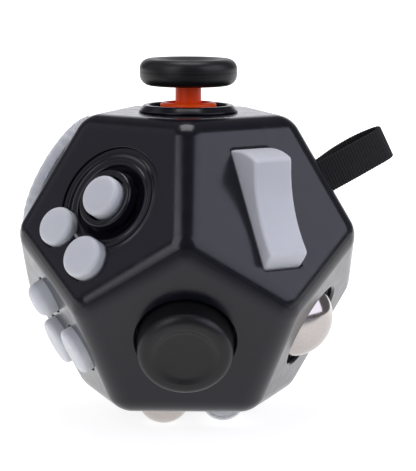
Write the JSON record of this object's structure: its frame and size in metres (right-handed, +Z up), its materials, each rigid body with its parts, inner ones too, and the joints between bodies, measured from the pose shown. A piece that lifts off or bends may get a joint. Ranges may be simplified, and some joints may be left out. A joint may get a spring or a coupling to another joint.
{
  "type": "fidget cube",
  "caption": "Rounded twelve-sided fidget case with a different finger toy on each face: thumb stick, glide pad, rocker, buttons, balls, dial, slider and strap.",
  "frame": {"origin": "centre of the case's flat bottom face", "axes": "+Z up to the thumb stick, -Y towards the press pad, +X towards the strap"},
  "size_m": [0.0562, 0.0508, 0.0538],
  "materials": {
    "case_black": "satin moulded plastic",
    "button_grey": "satin",
    "stem_orange": "satin",
    "black_rubber": "matte",
    "polished_steel": "polished",
    "spring_steel": "drawn wire and pressed sheet",
    "black_webbing": "woven nylon with cross ribs",
    "inner_bracket": "moulded"
  },
  "bodies": {
    "case": {"upper_shell": "case_black", "lower_shell": "case_black", "stick_bezel": "case_black", "worry_stone": "black_rubber", "roller_cup": "inner_bracket", "small_cup": "inner_bracket", "stick_spring": "spring_steel", "stick_socket": "inner_bracket", "press_housing": "inner_bracket", "pad_back_plate": "inner_bracket", "strap_end": "black_webbing", "press_spring": "spring_steel", "spin_bearing": "polished_steel", "rocker_frame": "inner_bracket", "button_a_dome": "spring_steel", "button_b_dome": "spring_steel", "click_dome_1": "spring_steel", "click_dome_2": "spring_steel", "click_dome_3": "spring_steel", "click_plate": "inner_bracket", "rocker_pin": "spring_steel", "strap_pin": "spring_steel", "slide_plate": "inner_bracket", "gear_axle": "spring_steel", "rocker_leaf": "spring_steel", "gear_cradle": "inner_bracket"},
    "stick_ring": {"stick_gimbal": "inner_bracket"},
    "stick": {"stick_stem": "stem_orange", "stick_cap": "black_rubber"},
    "pad_carriage": {"pad_carriage": "inner_bracket"},
    "glide_pad": {"pad_hub": "case_black"},
    "center_button": {"center_button": "button_grey"},
    "button_a": {"button_a": "button_grey"},
    "button_b": {"button_b": "button_grey"},
    "rocker": {"rocker": "button_grey"},
    "press_pad": {"press_pad": "black_rubber"},
    "click_button_1": {"click_button_1": "button_grey"},
    "click_button_2": {"click_button_2": "button_grey"},
    "click_button_3": {"click_button_3": "button_grey"},
    "roller_ball": {"roller_ball": "polished_steel"},
    "dial": {"ribbed_dial": "button_grey", "dial_washer": "spring_steel", "dial_screw": "spring_steel"},
    "strap": {"strap_loop": "black_webbing"},
    "slide_knob": {"slide_knob": "button_grey"},
    "spin": {"spin_disc": "button_grey", "spin_screw": "spring_steel"},
    "small_ball": {"small_ball": "polished_steel"},
    "gear_wheel_1": {"gear_wheel_1": "button_grey"},
    "gear_wheel_2": {"gear_wheel_2": "button_grey"},
    "gear_wheel_3": {"gear_wheel_3": "button_grey"}
  },
  "joints": [
    {"name": "stick_tilt_front", "type": "hinge", "parent": "case", "child": "stick_ring", "pos_m": [0, 0, 0.0384], "axis": [1, 0, 0], "range_deg": [-14, 14], "stiffness_Nm_per_rad": 0.02},
    {"name": "stick_tilt_side", "type": "hinge", "parent": "stick_ring", "child": "stick", "pos_m": [0, 0, 0.0384], "axis": [0, 1, 0], "range_deg": [-14, 14], "stiffness_Nm_per_rad": 0.02},
    {"name": "pad_glide_side", "type": "slide", "parent": "case", "child": "pad_carriage", "axis": [0.809, -0.5878, 0], "range_m": [-0.0008, 0.0008], "stiffness_N_per_m": 600},
    {"name": "pad_glide_up", "type": "slide", "parent": "pad_carriage", "child": "glide_pad", "axis": [0.2629, 0.3618, 0.8944], "range_m": [-0.0008, 0.0008], "stiffness_N_per_m": 600},
    {"name": "center_button_press", "type": "slide", "parent": "glide_pad", "child": "center_button", "axis": [-0.5257, -0.7236, 0.4472], "range_m": [-0.0008, 0], "stiffness_N_per_m": 600, "springref_m": 0.0002},
    {"name": "button_a_press", "type": "slide", "parent": "case", "child": "button_a", "axis": [-0.5257, -0.7236, 0.4472], "range_m": [-0.0008, 0], "stiffness_N_per_m": 600, "springref_m": 0.0002},
    {"name": "button_b_press", "type": "slide", "parent": "case", "child": "button_b", "axis": [-0.5257, -0.7236, 0.4472], "range_m": [-0.0008, 0], "stiffness_N_per_m": 600, "springref_m": 0.0002},
    {"name": "rocker_flip", "type": "hinge", "parent": "case", "child": "rocker", "pos_m": [0.0101, -0.01339, 0.02933], "axis": [0.809, 0.5878, 0], "range_deg": [-19.8, 0]},
    {"name": "press_pad_press", "type": "slide", "parent": "case", "child": "press_pad", "axis": [0, -0.8944, -0.4472], "range_m": [-0.0016, 0], "stiffness_N_per_m": 500, "springref_m": 0.0004},
    {"name": "click_button_1_press", "type": "slide", "parent": "case", "child": "click_button_1", "axis": [-0.8507, -0.2764, -0.4472], "range_m": [-0.001, 0], "stiffness_N_per_m": 700, "springref_m": 0.0003},
    {"name": "click_button_2_press", "type": "slide", "parent": "case", "child": "click_button_2", "axis": [-0.8507, -0.2764, -0.4472], "range_m": [-0.001, 0], "stiffness_N_per_m": 700, "springref_m": 0.0003},
    {"name": "click_button_3_press", "type": "slide", "parent": "case", "child": "click_button_3", "axis": [-0.8507, -0.2764, -0.4472], "range_m": [-0.001, 0], "stiffness_N_per_m": 700, "springref_m": 0.0003},
    {"name": "roller_ball_roll", "type": "hinge", "parent": "case", "child": "roller_ball", "pos_m": [0.01557, -0.00506, 0.01332], "axis": [0.309, 0.9511, 0], "continuous": true},
    {"name": "dial_turn", "type": "hinge", "parent": "case", "child": "dial", "pos_m": [-0.01782, 0.00579, 0.0321], "axis": [-0.8507, 0.2764, 0.4472], "continuous": true},
    {"name": "strap_swing", "type": "hinge", "parent": "case", "child": "strap", "pos_m": [0.01812, 0.00589, 0.03147], "axis": [-0.4253, -0.1382, 0.8944], "range_deg": [-40, 40], "stiffness_Nm_per_rad": 0.0006},
    {"name": "slide_knob_travel", "type": "slide", "parent": "case", "child": "slide_knob", "axis": [-1, 0, 0], "range_m": [-0.0027, 0.0027]},
    {"name": "spin_disc_turn", "type": "hinge", "parent": "case", "child": "spin", "pos_m": [-0.0113, 0.01556, 0.01188], "axis": [-0.5257, 0.7236, -0.4472], "continuous": true},
    {"name": "small_ball_roll", "type": "hinge", "parent": "case", "child": "small_ball", "pos_m": [-0.0034, -0.0055, 0.00115], "axis": [1, 0, 0], "continuous": true},
    {"name": "gear_wheel_1_turn", "type": "hinge", "parent": "case", "child": "gear_wheel_1", "pos_m": [0.0054, -0.0063, 0.00115], "axis": [0, -1, 0], "continuous": true},
    {"name": "gear_wheel_2_turn", "type": "hinge", "parent": "case", "child": "gear_wheel_2", "pos_m": [0.0054, -0.0033, 0.00115], "axis": [0, -1, 0], "continuous": true},
    {"name": "gear_wheel_3_turn", "type": "hinge", "parent": "case", "child": "gear_wheel_3", "pos_m": [0.0054, -0.0003, 0.00115], "axis": [0, -1, 0], "continuous": true}
  ]
}
